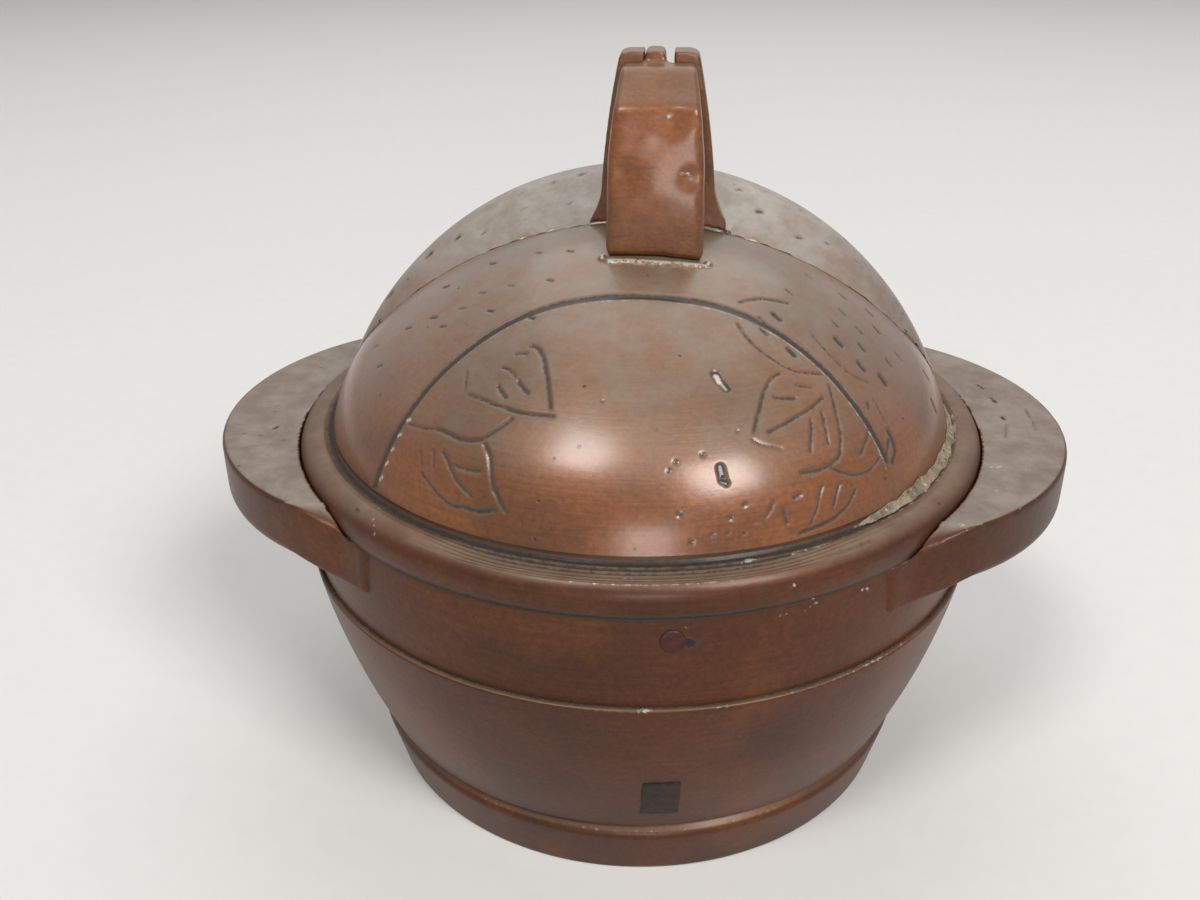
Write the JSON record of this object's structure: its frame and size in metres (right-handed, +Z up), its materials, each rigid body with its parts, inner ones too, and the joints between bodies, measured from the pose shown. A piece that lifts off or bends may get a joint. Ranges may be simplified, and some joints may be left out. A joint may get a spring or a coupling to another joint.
{
  "type": "lidded inkwell",
  "caption": "Round bronze inkwell on a foot ring, with flat side lugs, a ceramic ink liner and a lift-off domed lid with a crease and a strap handle.",
  "frame": {"origin": "centre of the foot ring's underside", "axes": "+Z up through the lid; +X through the right lug's tip; -Y towards the low front lobe of the lid"},
  "size_m": [0.099, 0.0794, 0.0836],
  "materials": {
    "bronze": "patinated bronze, semi-gloss brown",
    "dark_plug": "blackened filling, dull",
    "red_plug": "dark red copper filling, satin",
    "glaze": "opaque white glazed ceramic"
  },
  "bodies": {
    "vessel": {"bowl": "bronze", "foot_ring": "bronze", "base_plate": "bronze", "collar_band": "bronze", "left_lug": "bronze", "right_lug": "bronze", "liner_seat": "bronze", "round_plug": "red_plug", "square_plug": "dark_plug"},
    "liner": {"ink_liner": "glaze"},
    "lid": {"lid_rim": "bronze", "locating_flange": "bronze", "front_lobe": "bronze", "rear_lobe": "bronze", "handle_front_arm": "bronze", "handle_rear_arm": "bronze"}
  },
  "joints": [
    {"name": "lid_lift", "type": "slide", "parent": "vessel", "child": "lid", "axis": [0, 0, 1], "range_m": [0, 0.08]},
    {"name": "liner_lift", "type": "slide", "parent": "vessel", "child": "liner", "axis": [0, 0, 1], "range_m": [0, 0.038]}
  ],
  "couplings": [
    {"joint": "liner_lift", "follows": "lid_lift", "ratio": 0.475}
  ]
}
